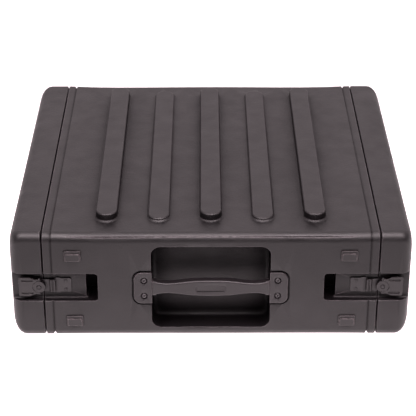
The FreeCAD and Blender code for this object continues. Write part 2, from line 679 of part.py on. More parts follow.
def latch_wing():
    """The folding grip of a latch: a fishtail plate with an eye that fits round the rotor."""
    place = at_y(WING_BOTTOM)

    def point(along, across):
        return place(PIVOT_X + along, LATCH_Z + across)

    neck_at, neck = 1.5, 11.6
    bow_at, bow = 7.0, 13.0
    tail_at, tail = 14.0, WING_HALF_TAIL
    chamfer = 1.6
    end = WING_LENGTH - chamfer
    edges = [Part.makeLine(point(neck_at, -neck), point(neck_at, neck)),
             Part.Arc(point(neck_at, neck), point(bow_at, bow), point(tail_at, tail)).toShape(),
             Part.makeLine(point(tail_at, tail), point(end, tail)),
             Part.makeLine(point(end, tail), point(WING_LENGTH, tail - chamfer)),
             Part.makeLine(point(WING_LENGTH, tail - chamfer), point(WING_LENGTH, chamfer - tail)),
             Part.makeLine(point(WING_LENGTH, chamfer - tail), point(end, -tail)),
             Part.makeLine(point(end, -tail), point(tail_at, -tail)),
             Part.Arc(point(tail_at, -tail), point(bow_at, -bow), point(neck_at, -neck)).toShape()]
    plate = prism(Part.Wire(edges), V(0, WING_TOP - WING_BOTTOM, 0))
    eye = cylinder_y(PIVOT_X, LATCH_Z, WING_BOTTOM, WING_TOP, 13.0)
    eye = eye.cut(box(PIVOT_X - 20, PIVOT_X, 0, 400, 0, CASE_HEIGHT))
    plate = plate.fuse(eye)
    knuckles = []
    for z0, z1 in ((-13.1, -10.3), (10.3, 13.1)):
        knuckles.append(cylinder_z(PIVOT_X, WING_PIN_Y, LATCH_Z + z0, LATCH_Z + z1, WING_KNUCKLE_R))
    plate = plate.multiFuse(knuckles)
    cutters = [cylinder_y(PIVOT_X, LATCH_Z, WING_BOTTOM - 5, WING_TOP + 1, ROTOR_R + 0.6),
               cylinder_z(PIVOT_X, WING_PIN_Y, LATCH_Z - 14, LATCH_Z + 14, WING_PIN_R)]
    for across in (-11.0, 11.0):
        wire = rounded_rectangle(PIVOT_X + 9.0, PIVOT_X + 27.0, LATCH_Z + across - 1.9,
                                 LATCH_Z + across + 1.9, 1.85, at_y(WING_TOP - 1.1))
        cutters.append(prism(wire, V(0, 2, 0)))
    return plate.cut(cutters)


def latch_wing_pin():
    """The cross pin on which the wing folds."""
    return cylinder_z(PIVOT_X, WING_PIN_Y, LATCH_Z - 13.1, LATCH_Z + 13.1, WING_PIN_R)


def latch_hook():
    """The drawn hook plate, moved by the cam, with its raised end over the keeper."""
    z0 = LATCH_Z - HOOK_HALF_HEIGHT
    outline = ((275.0, HOOK_BOTTOM), (248.5, HOOK_BOTTOM), (247.3, 274.7), (239.3, 274.7),
               (239.3, 278.2), (241.3, 278.2), (241.3, 276.5), (244.4, 276.5), (244.4, 277.6),
               (246.4, 277.6), (246.4, 276.5), (248.0, HOOK_TOP), (275.0, HOOK_TOP),
               (275.0, HOOK_BOTTOM))
    plate = prism(Part.makePolygon([V(x, y, z0) for x, y in outline]), V(0, 0, 2 * HOOK_HALF_HEIGHT))
    slack = 1.0
    centre = PIVOT_X + CAM_THROW
    window = prism(rounded_rectangle(centre - CAM_R - slack, centre + CAM_R + slack, LATCH_Z - 8.4,
                                     LATCH_Z + 8.4, 1.5, at_y(HOOK_BOTTOM - 1)), V(0, 4, 0))
    return plate.cut(window)


# -------------------------------------------------------------------------------------------- lids
def lid_form(start, inset):
    """The solid form of a lid from x = start to its end, drawn in by inset all round."""
    roll = LID_CORNER_ROLL
    end = HALF_LENGTH - inset
    stations = [(start, 0.0), (end - roll - 6.0, 0.0)]
    for step in range(7):
        angle = math.radians(15.0 * step)
        stations.append((end - roll + roll * math.sin(angle), roll * (1 - math.cos(angle))))
    wires = []
    for x, draw in stations:
        wires.append(section(x, inset + draw, radius=EDGE_RADIUS - 0.7 * inset + 0.3 * draw))
    return Part.makeLoft(wires, True, True)


def lid_shell():
    """The rear lid: a moulded tray with a thick rim, a seal groove and two latch recesses."""
    solid = lid_form(LID_START, 0.0)
    cavity = lid_form(LID_START + LID_FLANGE, LID_WALL)
    recess_back = box(LID_START, HALF_LENGTH, RECESS_FLOOR - LID_WALL, HALF_WIDTH,
                      RECESS_BOTTOM - LID_WALL, RECESS_TOP + LID_WALL)
    cavity = cavity.cut(both_sides(recess_back))
    opening = prism(section(LID_START - 1, LID_FLANGE_WIDTH, radius=10.0), V(LID_FLANGE + 2, 0, 0))
    groove = ring(LID_START - 1, SEAL_GROOVE_FLOOR, SEAL_OUTER_OFFSET, SEAL_INNER_OFFSET)
    rim = outline_cutter(((LID_START, 1.2), (LID_START + 1.2, 0.0)))
    holes = []
    for x, z in latch_rivet_places():
        holes += both_sides(cylinder_y(x, z, RECESS_FLOOR - 8, RECESS_FLOOR + 1,
                                       RIVET_R + FASTENER_CLEARANCE))
    holes += both_sides(cylinder_y(PIVOT_X, LATCH_Z, WASHER_WELL_FLOOR, RECESS_FLOOR + 1,
                                   WASHER_WELL_R))
    return solid.cut([cavity, opening, groove, rim] + both_sides(latch_recess()) + holes)


def lid_seal():
    """The rubber seal at the bottom of the lid's groove."""
    play = 0.2
    return ring(SEAL_FACE, SEAL_GROOVE_FLOOR, SEAL_OUTER_OFFSET + play, SEAL_INNER_OFFSET - play)


# -------------------------------------------------------------------------------------------- node
def case_nodes():
    """Every node's name with its shape."""
    nodes = {
        "body_shell": body_shell(),
        "handle_screws": handle_screws(),
        "handle_backing_plates": handle_backing_plates(),
        "handle_nuts": handle_nuts(),
        "rail_bolts": rail_bolts(),
        "rail_nuts": rail_nuts(),
        "keeper_rivets": keeper_rivets(),
    }
    left_handle = handle()
    ends = (("front", -1), ("rear", 1))
    sides = (("left", 1), ("right", -1))
    for side_name, side in sides:
        nodes[side_name + "_handle"] = mirrored(left_handle, 1, side)
    lid = lid_shell()
    seal = lid_seal()
    for end_name, end in ends:
        nodes[end_name + "_lid_shell"] = mirrored(lid, end, 1)
        nodes[end_name + "_lid_seal"] = mirrored(seal, end, 1)
        nodes[end_name + "_latch_rivets"] = latch_rivets(end)
    corner_parts = (("rack_rail", rack_rail()), ("keeper", keeper()), ("latch_base", latch_base()),
                    ("latch_rotor", latch_rotor()), ("latch_washer", latch_washer()),
                    ("latch_wing", latch_wing()), ("latch_wing_pin", latch_wing_pin()),
                    ("latch_hook", latch_hook()))
    for end_name, end in ends:
        for side_name, side in sides:
            for part_name, shape in corner_parts:
                nodes[f"{end_name}_{side_name}_{part_name}"] = mirrored(shape, end, side)
    return nodes


def main():
    os.makedirs("parts", exist_ok=True)
    for name, shape in case_nodes().items():
        shape = shape.removeSplitter()
        state = "" if shape.isValid() else "  NOT VALID"
        print(f"{name}: {len(shape.Solids)} solid(s), {shape.Volume / 1000:.1f} cm3{state}")
        shape.exportStep(f"parts/{name}.step")


main()
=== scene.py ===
"""Looks of the two-unit equipment rack case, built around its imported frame.

Every length is in metres in the frame of the case: +X from the front lid to the rear lid, +Y to the
left handle, +Z up, origin in the middle of the underside.
"""

import json
import logging
import math
from contextlib import contextmanager
from dataclasses import dataclass, field
from enum import Enum
from typing import Callable, Dict, Iterable, Iterator, List, Sequence, Tuple

import bmesh
import bpy
from mathutils import Matrix, Vector

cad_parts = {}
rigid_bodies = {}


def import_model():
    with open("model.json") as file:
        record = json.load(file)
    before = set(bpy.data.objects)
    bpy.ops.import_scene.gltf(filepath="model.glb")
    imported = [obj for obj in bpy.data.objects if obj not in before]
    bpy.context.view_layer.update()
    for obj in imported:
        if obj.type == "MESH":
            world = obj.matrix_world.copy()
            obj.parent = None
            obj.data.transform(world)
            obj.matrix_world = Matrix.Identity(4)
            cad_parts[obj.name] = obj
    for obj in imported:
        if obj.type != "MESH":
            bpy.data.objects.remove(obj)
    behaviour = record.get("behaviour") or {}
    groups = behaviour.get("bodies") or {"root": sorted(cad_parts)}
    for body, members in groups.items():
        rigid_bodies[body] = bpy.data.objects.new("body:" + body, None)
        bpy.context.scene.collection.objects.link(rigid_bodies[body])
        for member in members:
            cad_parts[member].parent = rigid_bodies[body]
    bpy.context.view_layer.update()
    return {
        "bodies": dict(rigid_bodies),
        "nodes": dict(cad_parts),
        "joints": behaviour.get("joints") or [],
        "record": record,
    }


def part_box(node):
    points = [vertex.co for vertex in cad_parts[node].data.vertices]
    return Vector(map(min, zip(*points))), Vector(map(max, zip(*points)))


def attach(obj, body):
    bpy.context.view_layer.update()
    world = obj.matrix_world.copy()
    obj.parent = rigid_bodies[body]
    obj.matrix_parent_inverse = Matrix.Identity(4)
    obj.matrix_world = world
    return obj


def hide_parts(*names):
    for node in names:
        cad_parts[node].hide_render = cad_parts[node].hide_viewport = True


LOG = logging.getLogger("rack_case")
Colour = Tuple[float, float, float]
Point = Tuple[float, float, float]
Spot = Tuple[Point, Point]
Output = bpy.types.NodeSocket
MM = 0.001


class Socket(Enum):
    """The kinds of input that a Geometry Nodes tree of this file takes."""

    NUMBER = "NodeSocketFloat"
    COUNT = "NodeSocketInt"
    GEOMETRY = "NodeSocketGeometry"
    MATERIAL = "NodeSocketMaterial"


class CaseEnd(Enum):
    """The two ends of the case, with the sign of X on which each lies."""

    FRONT = -1
    REAR = 1

    @property
    def word(self) -> str:
        """The end's word in node names."""
        return self.name.lower()


class CaseSide(Enum):
    """The two handle sides, with the sign of Y on which each lies."""

    RIGHT = -1
    LEFT = 1

    @property
    def word(self) -> str:
        """The side's word in node names."""
        return self.name.lower()

    @property
    def turn(self) -> Point:
        """The turn that points a fastener's +Z out of this side and keeps its +Y upward."""
        return (math.radians(90), 0.0, math.radians(180) if self is CaseSide.LEFT else 0.0)


def new_object(name: str, data: bpy.types.ID) -> bpy.types.Object:
    """Put an object with the given data into the scene, at the origin.

    Args:
        name: the name of the object and of its data.
        data: a mesh, lamp or camera.

    Returns:
        The object.
    """
    data.name = name
    obj = bpy.data.objects.new(name, data)
    bpy.context.scene.collection.objects.link(obj)
    return obj


@contextmanager
def editing(mesh: bpy.types.Mesh) -> Iterator[bmesh.types.BMesh]:
    """Open a mesh for editing and write the changes back.

    Args:
        mesh: the mesh.

    Yields:
        Its editable form.
    """
    shape = bmesh.new()
    shape.from_mesh(mesh)
    yield shape
    shape.to_mesh(mesh)
    shape.free()


def wall_spots(rows: Iterable[float], out: float, heights: Sequence[float],
               sides: Iterable[CaseSide] = CaseSide) -> List[Spot]:
    """The places and turns of fasteners on the side walls.

    Args:
        rows: where along X each upright row stands.
        out: how far from the middle of the case the fasteners bear.
        heights: their heights.
        sides: the walls that carry them.

    Returns:
        Each fastener's place and turn: row by row, wall by wall, from the bottom up.
    """
    return [((x, side.value * out, z), side.turn) for x in rows for side in sides for z in heights]


class NodeTree:
    """A node tree, with short calls to add nodes and link them."""

    def __init__(self, tree: bpy.types.NodeTree) -> None:
        """Take the tree to build in.

        Args:
            tree: the Blender node tree.
        """
        self.tree = tree

    def feed(self, target: bpy.types.NodeSocket, value: object) -> None:
        """Link an input from an output, or set it to a plain value.

        Args:
            target: the input.
            value: the output or the value.
        """
        if isinstance(value, Output):
            self.tree.links.new(value, target)
        else:
            target.default_value = value

    def wire(self, node: bpy.types.Node, **inputs: object) -> None:
        """Feed a node's inputs by name.

        Args:
            node: the node.
            **inputs: input names, with spaces written as underscores, and what feeds each.
        """
        for name, value in inputs.items():
            self.feed(node.inputs[name.replace("_", " ")], value)

    def node(self, kind: str, settings: Dict[str, object] = None, **inputs: object) -> bpy.types.Node:
        """Add a node.

        Args:
            kind: the node's type name.
            settings: the node's own options.
            **inputs: what feeds its inputs, as in wire.

        Returns:
            The new node.
        """
        node = self.tree.nodes.new(kind)
        for option, choice in (settings or {}).items():
            setattr(node, option, choice)
        self.wire(node, **inputs)
        return node

    def operate(self, kind: str, operation: str, *values: object) -> bpy.types.Node:
        """Add a node that works on values in the order of its inputs.

        Args:
            kind: the node's type name.
            operation: what it does.
            *values: the values or outputs that it works on.

        Returns:
            The new node.
        """
        node = self.node(kind, {"operation": operation})
        for target, value in zip(node.inputs, values):
            self.feed(target, value)
        return node

    def math(self, operation: str, first: object, second: object) -> Output:
        """The result of a Math node on two values or outputs."""
        return self.operate("ShaderNodeMath", operation, first, second).outputs[0]

    def ramp(self, value: Output, low: float, high: float, to: Tuple[float, float] = (0.0, 1.0),
             curve: str = "LINEAR") -> Output:
        """A clamped Map Range.

        Args:
            value: the value to map.
            low: the value that gives the first result.
            high: the value that gives the second result.
            to: the two results.
            curve: how it passes from one to the other.

        Returns:
            The mapped value.
        """
        return self.node("ShaderNodeMapRange", {"interpolation_type": curve}, Value=value, From_Min=low,
                         From_Max=high, To_Min=to[0], To_Max=to[1]).outputs[0]


class Graph(NodeTree):
    """A material's node tree, with the textures that the finishes are made of."""

    BODY = (0.3, 0.7)

    def __init__(self, name: str) -> None:
        """Start an empty tree with a shader and its output.

        Args:
            name: the material's name.
        """
        self.material = bpy.data.materials.new(name)
        self.material.use_nodes = True
        super().__init__(self.material.node_tree)
        self.tree.nodes.clear()
        self.shader = self.node("ShaderNodeBsdfPrincipled")
        self.node("ShaderNodeOutputMaterial", Surface=self.shader.outputs["BSDF"])
        self.place = self.node("ShaderNodeTexCoord").outputs["Object"]

    def mapped(self, scale: Point, turn: Point = (0.0, 0.0, 0.0)) -> Output:
        """Object coordinates, stretched and turned.

        Args:
            scale: the stretch along each axis.
            turn: the turn about each axis, in radians.

        Returns:
            The mapped coordinates.
        """
        return self.node("ShaderNodeMapping", Vector=self.place, Scale=scale, Rotation=turn).outputs[0]

    def noise(self, scale: float, detail: float, distortion: float = 0.0, place: Output = None) -> Output:
        """A noise texture.

        Args:
            scale: cycles per metre.
            detail: octaves of detail.
            distortion: how far the pattern is warped.
            place: mapped coordinates to read instead of plain object coordinates.

        Returns:
            The noise, mostly within BODY.
        """
        return self.node("ShaderNodeTexNoise", Vector=self.place if place is None else place,
                         Scale=scale, Detail=detail, Distortion=distortion).outputs[0]

    def mix(self, factor: Output, first: object, second: Colour) -> Output:
        """A colour mix.

        Args:
            factor: what leads the mix.
            first: the colour at 0, plain or from an earlier mix.
            second: the colour at 1.

        Returns:
            The mixed colour.
        """
        node = self.node("ShaderNodeMix", {"data_type": "RGBA"})
        self.feed(node.inputs[0], factor)
        self.feed(node.inputs[6], first if isinstance(first, Output) else (*first, 1.0))
        self.feed(node.inputs[7], (*second, 1.0))
        return node.outputs[2]

    def rounded(self, radius: float) -> Output:
        """A normal that is rounded off along sharp edges."""
        return self.node("ShaderNodeBevel", {"samples": 4}, Radius=radius).outputs[0]

    def edge_mask(self, radius: float, low: float, high: float) -> Output:
        """A mask along sharp edges, from how far a rounded normal leans off the true one.

        Args:
            radius: how wide the edge band is.
            low: the lean at which the mask starts.
            high: the lean at which it is full.

        Returns:
            The mask, 1 on the edges.
        """
        normal = self.node("ShaderNodeNewGeometry").outputs["Normal"]
        dot = self.operate("ShaderNodeVectorMath", "DOT_PRODUCT", self.rounded(radius), normal)
        return self.ramp(self.math("SUBTRACT", 1.0, dot.outputs["Value"]), low, high)

    def sheltered(self, reach: float, gloss: Tuple[float, float], own_only: bool) -> Output:
        """A gloss dimmed as painted shade in deep recesses, by how little of the surroundings a point
        sees.

        Args:
            reach: how far away a wall still shelters a point.
            gloss: the specular level in a deep recess and in the open.
            own_only: whether only the piece's own walls shelter it.

        Returns:
            The specular level.
        """
        open_to = self.node("ShaderNodeAmbientOcclusion", {"samples": 4, "only_local": own_only},
                            Distance=reach)
        return self.ramp(open_to.outputs["AO"], 0.58, 0.88, gloss)

    def bump(self, height: Output, distance: float, strength: float, under: Output = None) -> Output:
        """A bumped normal.

        Args:
            height: the height of the relief, 0 to 1.
            distance: how high 1 stands.
            strength: how much of the relief counts.
            under: an earlier normal that it lies on.

        Returns:
            The normal.
        """
        node = self.node("ShaderNodeBump", Height=height, Distance=distance, Strength=strength)
        if under is not None:
            self.wire(node, Normal=under)
        return node.outputs[0]


@dataclass(frozen=True)
class MouldedPlastic:
    """Moulded plastic with a pebbled skin, faint mottling, scuffed edges that also carry a painted
    highlight, and painted shade that dims its gloss in recesses.

    Attributes:
        name: the material's name.
        base: the pigment's colour.
        mottle: the slightly paler colour of its patches.
        worn: the colour of fine scratches and of rubbed edges, where it is also a painted highlight along
            the rims.
        roughness: the lowest and highest roughness.
        grain: the size of a pebble of the skin.
        relief: how high the pebbles stand.
        edge: the width of the rounding on sharp edges.
        shelter: how far away a wall still dims the skin's gloss as painted shade.
    """

    name: str
    base: Colour
    mottle: Colour
    worn: Colour
    roughness: Tuple[float, float]
    grain: float
    relief: float
    edge: float = 1.0 * MM
    shelter: float = 90.0 * MM

    def build(self) -> bpy.types.Material:
        """Make the material."""
        g = Graph(self.name)
        colour = g.mix(g.ramp(g.noise(9.0, 3.0, 0.4), 0.35, 0.68), self.base, self.mottle)
        colour = g.mix(g.ramp(g.noise(900.0, 2.0), 0.60, 0.74), colour, self.mottle)
        breakup = g.ramp(g.noise(260.0, 4.0), 0.28, 0.58)
        # rubbed edges lightened toward the worn colour: partly real wear, partly a painted highlight along
        # the rims
        rubbed_and_highlit_edges = g.math("MULTIPLY", g.edge_mask(1.7 * MM, 0.003, 0.05), breakup)
        colour = g.mix(rubbed_and_highlit_edges, colour, self.worn)
        # painted shade: the specular level is dimmed in recesses of the piece's own walls
        g.wire(g.shader, Base_Color=g.mix(self._scratches(g), colour, self.worn),
               Roughness=g.ramp(g.noise(31.0, 4.0), *g.BODY, self.roughness), Normal=self._skin(g),
               Specular_IOR_Level=g.sheltered(self.shelter, (0.02, 0.30), True))
        return g.material

    def _scratches(self, g: Graph) -> Output:
        """Sparse hairline scuffs, mostly along X.

        Args:
            g: the material's graph.

        Returns:
            The mask of the scuffs.
        """
        streaks = g.noise(1.0, 2.0, place=g.mapped((22.0, 900.0, 900.0), (0.0, 0.1, 0.35)))
        where = g.ramp(g.noise(14.0, 2.0), 0.52, 0.66)
        return g.math("MULTIPLY", g.ramp(streaks, 0.735, 0.78), where)

    def _skin(self, g: Graph) -> Output:
        """The pebbled skin over the slow waves of the moulding and rounded edges.

        Args:
            g: the material's graph.

        Returns:
            The normal of the skin.
        """
        waves = g.bump(g.noise(5.0, 1.0), 1.0 * MM, 0.12, g.rounded(self.edge))
        blotches = g.bump(g.noise(0.28 / self.grain, 2.0), 2.4 * self.relief, 0.6, waves)
        pebbles = g.node("ShaderNodeTexVoronoi", {"feature": "SMOOTH_F1"}, Vector=g.place,
                         Scale=1.0 / self.grain, Randomness=1.0).outputs[0]
        coarse = g.bump(pebbles, self.relief, 0.55, blotches)
        return g.bump(g.noise(1.6 / self.grain, 3.0), self.relief, 0.6, coarse)


@dataclass(frozen=True)
class CoatedSteel:
    """Pressed steel under a black coating, thin and rubbed along its edges.

    Attributes:
        name: the material's name.
        coat: the coating's colour.
        bare: the colour where it has rubbed through.
        roughness: the lowest and highest roughness.
        speckle: the size of the coating's orange peel.
        wear: how much of each edge shows bare metal, 0 to 1.
    """

    name: str
    coat: Colour
    bare: Colour
    roughness: Tuple[float, float]
    speckle: float
    wear: float

    def build(self) -> bpy.types.Material:
        """Make the material."""
        g = Graph(self.name)
        lighter = tuple(1.45 * c for c in self.coat)
        colour = g.mix(g.ramp(g.noise(70.0, 3.0), *g.BODY), self.coat, lighter)
        breakup = g.ramp(g.noise(420.0, 4.0), 0.62 - 0.3 * self.wear, 0.74 - 0.3 * self.wear)
        worn = g.math("MULTIPLY", g.edge_mask(0.6 * MM, 0.03, 0.3), breakup)
        peel = g.bump(g.noise(1.0 / self.speckle, 3.0), 0.12 * MM, 0.45, g.rounded(0.3 * MM))
        # painted shade: the coating's specular level is dimmed wherever a wall stands within a few
        # millimetres
        g.wire(g.shader, Base_Color=g.mix(worn, colour, self.bare), Metallic=worn,
               Roughness=g.ramp(g.noise(180.0, 3.0), *g.BODY, self.roughness),
               Normal=g.bump(g.noise(95.0, 1.0), 0.25 * MM, 0.3, peel),
               Specular_IOR_Level=g.sheltered(6.0 * MM, (0.02, 0.34), False))
        return g.material


@dataclass(frozen=True)
class PlatedSteel:
    """Zinc-plated hardware with fine turning marks.

    Attributes:
        name: the material's name.
        zinc: the plating's colour.
        stain: the colour of its duller patches.
    """

    name: str
    zinc: Colour
    stain: Colour

    def build(self) -> bpy.types.Material:
        """Make the material."""
        g = Graph(self.name)
        patch = g.ramp(g.noise(160.0, 4.0), 0.35, 0.7)
        marks = g.noise(1.0, 2.0, place=g.mapped((300.0, 4000.0, 300.0)))
        g.wire(g.shader, Base_Color=g.mix(patch, self.zinc, self.stain), Metallic=1.0,
               Roughness=g.ramp(g.noise(300.0, 3.0), *g.BODY, (0.24, 0.42)),
               Normal=g.bump(marks, 0.04 * MM, 0.4, g.rounded(0.25 * MM)))
        return g.material


@dataclass(frozen=True)
class SealRubber:
    """Closed-cell seal rubber: matt, slightly dusty and full of fine pores.

    Attributes:
        name: the material's name.
        base: the rubber's colour.
        dusty: its colour where dust clings.
    """

    name: str
    base: Colour
    dusty: Colour

    def build(self) -> bpy.types.Material:
        """Make the material."""
        g = Graph(self.name)
        dust = g.ramp(g.noise(45.0, 5.0), 0.4, 0.75)
        pores = g.node("ShaderNodeTexVoronoi", Vector=g.place, Scale=1600.0).outputs[0]
        g.wire(g.shader, Base_Color=g.mix(dust, self.base, self.dusty),
               Roughness=g.ramp(g.noise(90.0, 2.0), *g.BODY, (0.72, 0.92)),
               Normal=g.bump(pores, 0.15 * MM, 0.6))
        return g.material


@dataclass(frozen=True)
class LitFloor:
    """A pale sheet whose own painted glow stands in for light from below, with a barely visible tooth.

    Attributes:
        name: the material's name.
        tone: the sheet's colour.
        glow: the colour of its painted glow.
        strength: how strongly it glows under the case and far away from it.
    """

    name: str
    tone: Colour
    glow: Colour
    strength: Tuple[float, float]

    def build(self) -> bpy.types.Material:
        """Make the material."""
        g = Graph(self.name)
        darker = tuple(0.985 * c for c in self.tone)
        away = g.operate("ShaderNodeVectorMath", "LENGTH", g.place).outputs["Value"]
        # painted glow: the sheet's emission is a pool of light, strongest under the case and fading away
        # from it
        g.wire(g.shader, Base_Color=g.mix(g.ramp(g.noise(2.0, 2.0), *g.BODY), self.tone, darker),
               Roughness=0.8, Emission_Color=(*self.glow, 1.0),
               Emission_Strength=g.ramp(away, 0.30, 0.72, self.strength, "SMOOTHSTEP"),
               Normal=g.bump(g.noise(900.0, 2.0), 0.05 * MM, 0.1))
        return g.material


FINISHES = {
    "shell_plastic": MouldedPlastic(
        "shell_haircell_plastic", (0.0017, 0.0014, 0.0016), (0.0028, 0.0023, 0.0026),
        (0.046, 0.040, 0.043), (0.41, 0.52), 1.15 * MM, 0.15 * MM),
    "handle_plastic": MouldedPlastic(
        "handle_grip_plastic", (0.0040, 0.0033, 0.0037), (0.0060, 0.0050, 0.0056),
        (0.050, 0.043, 0.046), (0.32, 0.42), 0.8 * MM, 0.06 * MM),
    "bolt_cap": MouldedPlastic(
        "bolt_cap_plastic", (0.0030, 0.0025, 0.0027), (0.0045, 0.0037, 0.0040),
        (0.060, 0.052, 0.054), (0.30, 0.40), 0.6 * MM, 0.04 * MM),
    "latch_steel": CoatedSteel(
        "latch_black_steel", (0.0040, 0.0033, 0.0037), (0.26, 0.24, 0.23), (0.30, 0.42), 0.5 * MM, 0.3),
    "rail_steel": CoatedSteel(
        "rail_black_steel", (0.012, 0.012, 0.0125), (0.32, 0.31, 0.30), (0.34, 0.50), 0.9 * MM, 0.45),
    "black_screw": CoatedSteel(
        "screw_black_oxide", (0.016, 0.0145, 0.0155), (0.28, 0.27, 0.26), (0.22, 0.32), 0.3 * MM, 0.3),
    "zinc_steel": PlatedSteel("zinc_plated_steel", (0.60, 0.60, 0.61), (0.44, 0.44, 0.46)),
    "seal_rubber": SealRubber("seal_rubber", (0.010, 0.010, 0.010), (0.034, 0.033, 0.032)),
}


@dataclass
class Workshop:
    """What every sub-assembly needs: the frame, the materials and how finished pieces are handed over.

    Attributes:
        made: the materials made so far, by slot.
    """

    frame: dict
    made: Dict[str, bpy.types.Material] = field(default_factory=dict)

    def __post_init__(self) -> None:
        """Note each node's slot and body."""
        self.slots = {row["node"]: row["material_slot"] for row in self.frame["record"]["subparts"]}
        groups = self.frame["record"]["behaviour"]["bodies"]
        self.bodies = {node: body for body, nodes in groups.items() for node in nodes}

    def material(self, slot: str) -> bpy.types.Material:
        """The material of a record slot, made on first use.

        Args:
            slot: the slot's name in the record.

        Returns:
            The Blender material.
        """
        if slot not in self.made:
            self.made[slot] = FINISHES[slot].build()
        return self.made[slot]

    def dress_nodes(self) -> None:
        """Give every carried-over node the finish of its slot."""
        for name, obj in self.frame["nodes"].items():
            obj.data.materials.clear()
            obj.data.materials.append(self.material(self.slots[name]))
        LOG.info("dressed %d nodes", len(self.slots))

    def hand_over(self, piece: bpy.types.Object, node: str) -> None:
        """Give a finished piece its finish and body, in place of its CAD node.

        Args:
            piece: the finished mesh object.
            node: the node that it stands for.
        """
        slot = self.slots[node]
        piece.data.materials.clear()
        piece.data.materials.append(self.material(slot))
        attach(piece, self.bodies[node])
        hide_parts(node)
        LOG.info("%s stands for %s: %d faces", piece.name, node, len(piece.data.polygons))

    def applied(self, name: str, source: bpy.types.Object) -> bpy.types.Object:
        """A plain object with what the source's modifiers make; the source is removed.

        Args:
            name: the new object's name.
            source: the object with modifiers.

        Returns:
            The plain object.
        """
        bpy.context.view_layer.update()
        graph = bpy.context.evaluated_depsgraph_get()
        mesh = bpy.data.meshes.new_from_object(source.evaluated_get(graph))
        source.modifiers.clear()
        bpy.data.objects.remove(source)
        return new_object(name, mesh)

    def smooth_copy(self, node: str, crease: float = 28.0, round_over: float = 0.0,
                    refine: Callable[[bpy.types.Object], None] = None) -> None:
        """Replace a node by a merged copy with soft normals and, if asked, rounded edges.

        Args:
            node: the CAD node.
            crease: the angle in degrees past which an edge stays sharp.
            round_over: the width of the rounding cut along sharp edges, or 0 for none.
            refine: what is done to the copy last, if anything.
        """
        mesh = self.frame["nodes"][node].data.copy()
        with editing(mesh) as shape:
            bmesh.ops.remove_doubles(shape, verts=shape.verts, dist=0.002 * MM)
            bmesh.ops.dissolve_degenerate(shape, dist=0.004 * MM, edges=shape.edges)
            if round_over > 0.0:
                bmesh.ops.dissolve_limit(shape, angle_limit=math.radians(1.0), verts=shape.verts,
                                         edges=shape.edges, delimit={"NORMAL"})
        mesh.shade_smooth()
        mesh.set_sharp_from_angle(angle=math.radians(crease))
        source = new_object(node + "_source", mesh)
        if round_over > 0.0:
            bevel = source.modifiers.new("round_over", "BEVEL")
            bevel.width = round_over
            bevel.segments = 2
            bevel.limit_method = "ANGLE"
            bevel.angle_limit = math.radians(crease)
        source.modifiers.new("even_normals", "WEIGHTED_NORMAL").keep_sharp = True
        piece = self.applied(node + "_finished", source)
        if refine is not None:
            refine(piece)
        self.hand_over(piece, node)


